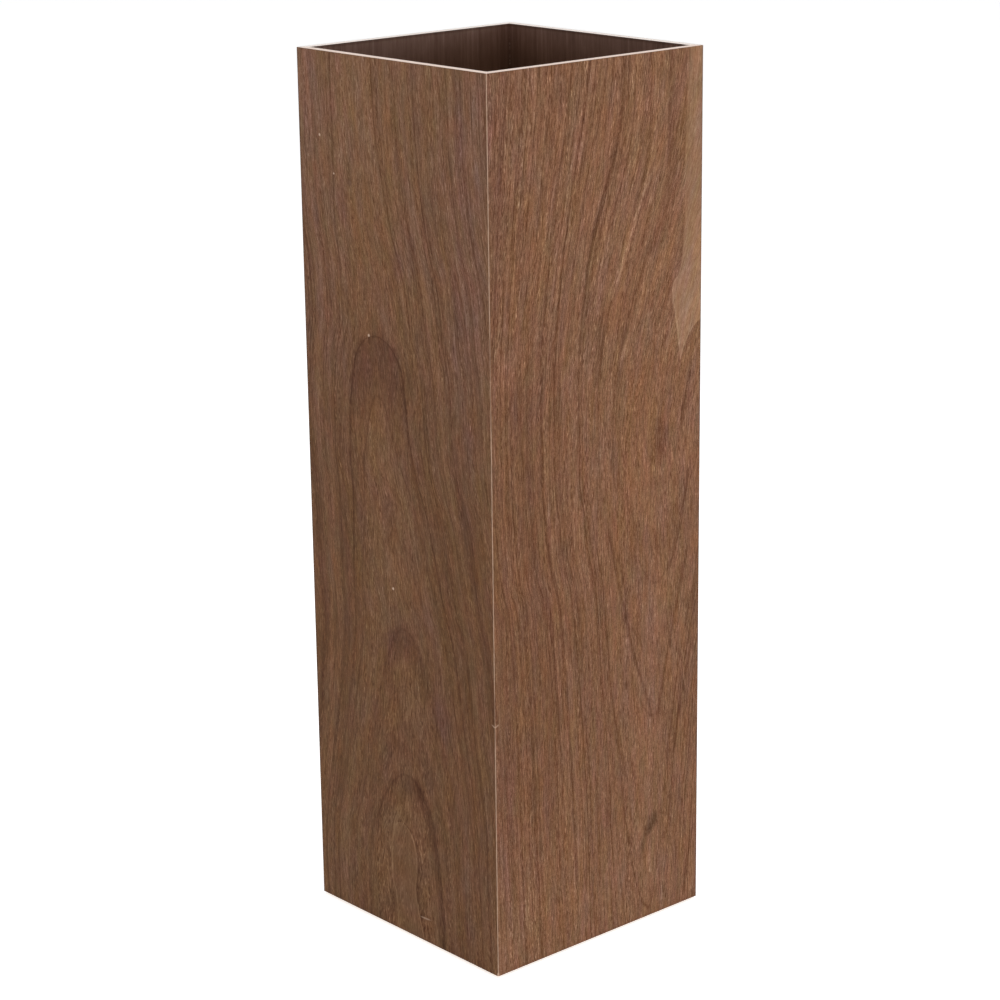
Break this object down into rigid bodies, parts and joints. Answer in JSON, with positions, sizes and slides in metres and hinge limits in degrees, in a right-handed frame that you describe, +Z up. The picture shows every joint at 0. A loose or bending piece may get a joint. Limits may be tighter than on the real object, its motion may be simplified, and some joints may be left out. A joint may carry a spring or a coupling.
{
  "type": "umbrella stand",
  "caption": "Tall square open-topped umbrella stand of mitred walnut-veneered panels with a pale rim, rubber feet and a lift-out drip tray.",
  "frame": {"origin": "on the floor, under the middle of the square column", "axes": "+Z up along the column; -Y is the front panel and +X the right panel, each parallel to its wall"},
  "size_m": [0.188, 0.188, 0.602],
  "materials": {
    "walnut_veneer": "satin clear lacquer over flat-cut walnut veneer",
    "walnut_veneer_inner": "matt clear lacquer over straight-grained walnut veneer",
    "rim_strip": "pale wood edge strip, clear lacquer",
    "board_core": "raw fibreboard",
    "softwood": "planed, unfinished",
    "rubber_foot": "moulded, matt",
    "zinc_steel": "bright zinc plate",
    "tray_plastic": "moulded polypropylene, fine texture"
  },
  "bodies": {
    "stand": {"back_base_cleat": "softwood", "back_inner_veneer": "walnut_veneer_inner", "back_left_corner_block": "softwood", "back_left_foot": "rubber_foot", "back_outer_veneer": "walnut_veneer", "back_panel_core": "board_core", "back_right_corner_block": "softwood", "back_right_foot": "rubber_foot", "back_rim_strip": "rim_strip", "base_bottom_veneer": "walnut_veneer_inner", "base_panel_core": "board_core", "base_top_veneer": "walnut_veneer_inner", "cleat_screws": "zinc_steel", "corner_block_screws": "zinc_steel", "foot_screws": "zinc_steel", "foot_washers": "zinc_steel", "front_base_cleat": "softwood", "front_inner_veneer": "walnut_veneer_inner", "front_left_corner_block": "softwood", "front_left_foot": "rubber_foot", "front_outer_veneer": "walnut_veneer", "front_panel_core": "board_core", "front_right_corner_block": "softwood", "front_right_foot": "rubber_foot", "front_rim_strip": "rim_strip", "left_base_cleat": "softwood", "left_inner_veneer": "walnut_veneer_inner", "left_outer_veneer": "walnut_veneer", "left_panel_core": "board_core", "left_rim_strip": "rim_strip", "right_base_cleat": "softwood", "right_inner_veneer": "walnut_veneer_inner", "right_outer_veneer": "walnut_veneer", "right_panel_core": "board_core", "right_rim_strip": "rim_strip"},
    "tray": {"drip_tray": "tray_plastic"}
  },
  "joints": [
    {"name": "tray_lift", "type": "slide", "parent": "stand", "child": "tray", "axis": [0, 0, 1], "range_m": [0, 0.62]}
  ]
}
